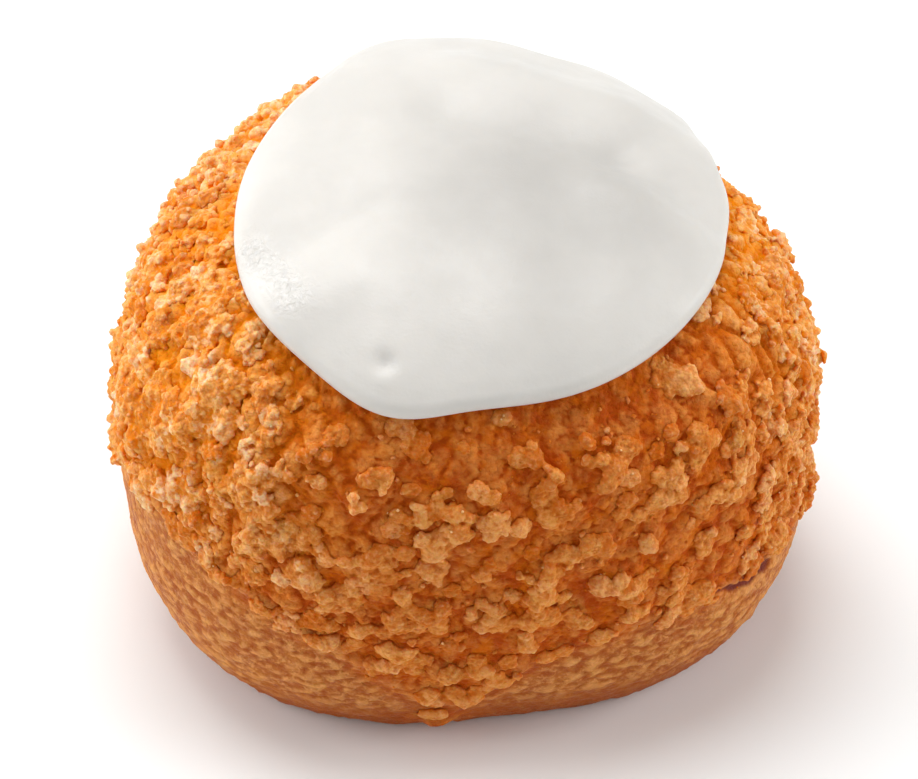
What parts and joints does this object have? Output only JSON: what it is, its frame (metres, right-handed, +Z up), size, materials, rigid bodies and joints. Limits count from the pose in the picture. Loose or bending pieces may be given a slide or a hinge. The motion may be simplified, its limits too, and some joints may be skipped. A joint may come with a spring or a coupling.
{
  "type": "choux bun",
  "caption": "Round craquelin choux bun: craggy golden crumb crust over smooth baked dough, with a thick rounded pool of white icing on its crown",
  "frame": {"origin": "under the middle of the bun's outline seen from above, on the flat sole it stands on", "axes": "+Z up through the icing, -Y towards the side shown in the picture, +X to that viewer's right"},
  "size_m": [0.0704, 0.0636, 0.0522],
  "materials": {
    "crust": "baked crumb crust, orange brown with paler craggy tops, dry and matte with a faint sheen between the crags",
    "icing": "set white icing, warm white, smooth with a soft satin sheen"
  },
  "bodies": {
    "root": {"bun": "crust", "icing": "icing"}
  },
  "joints": []
}
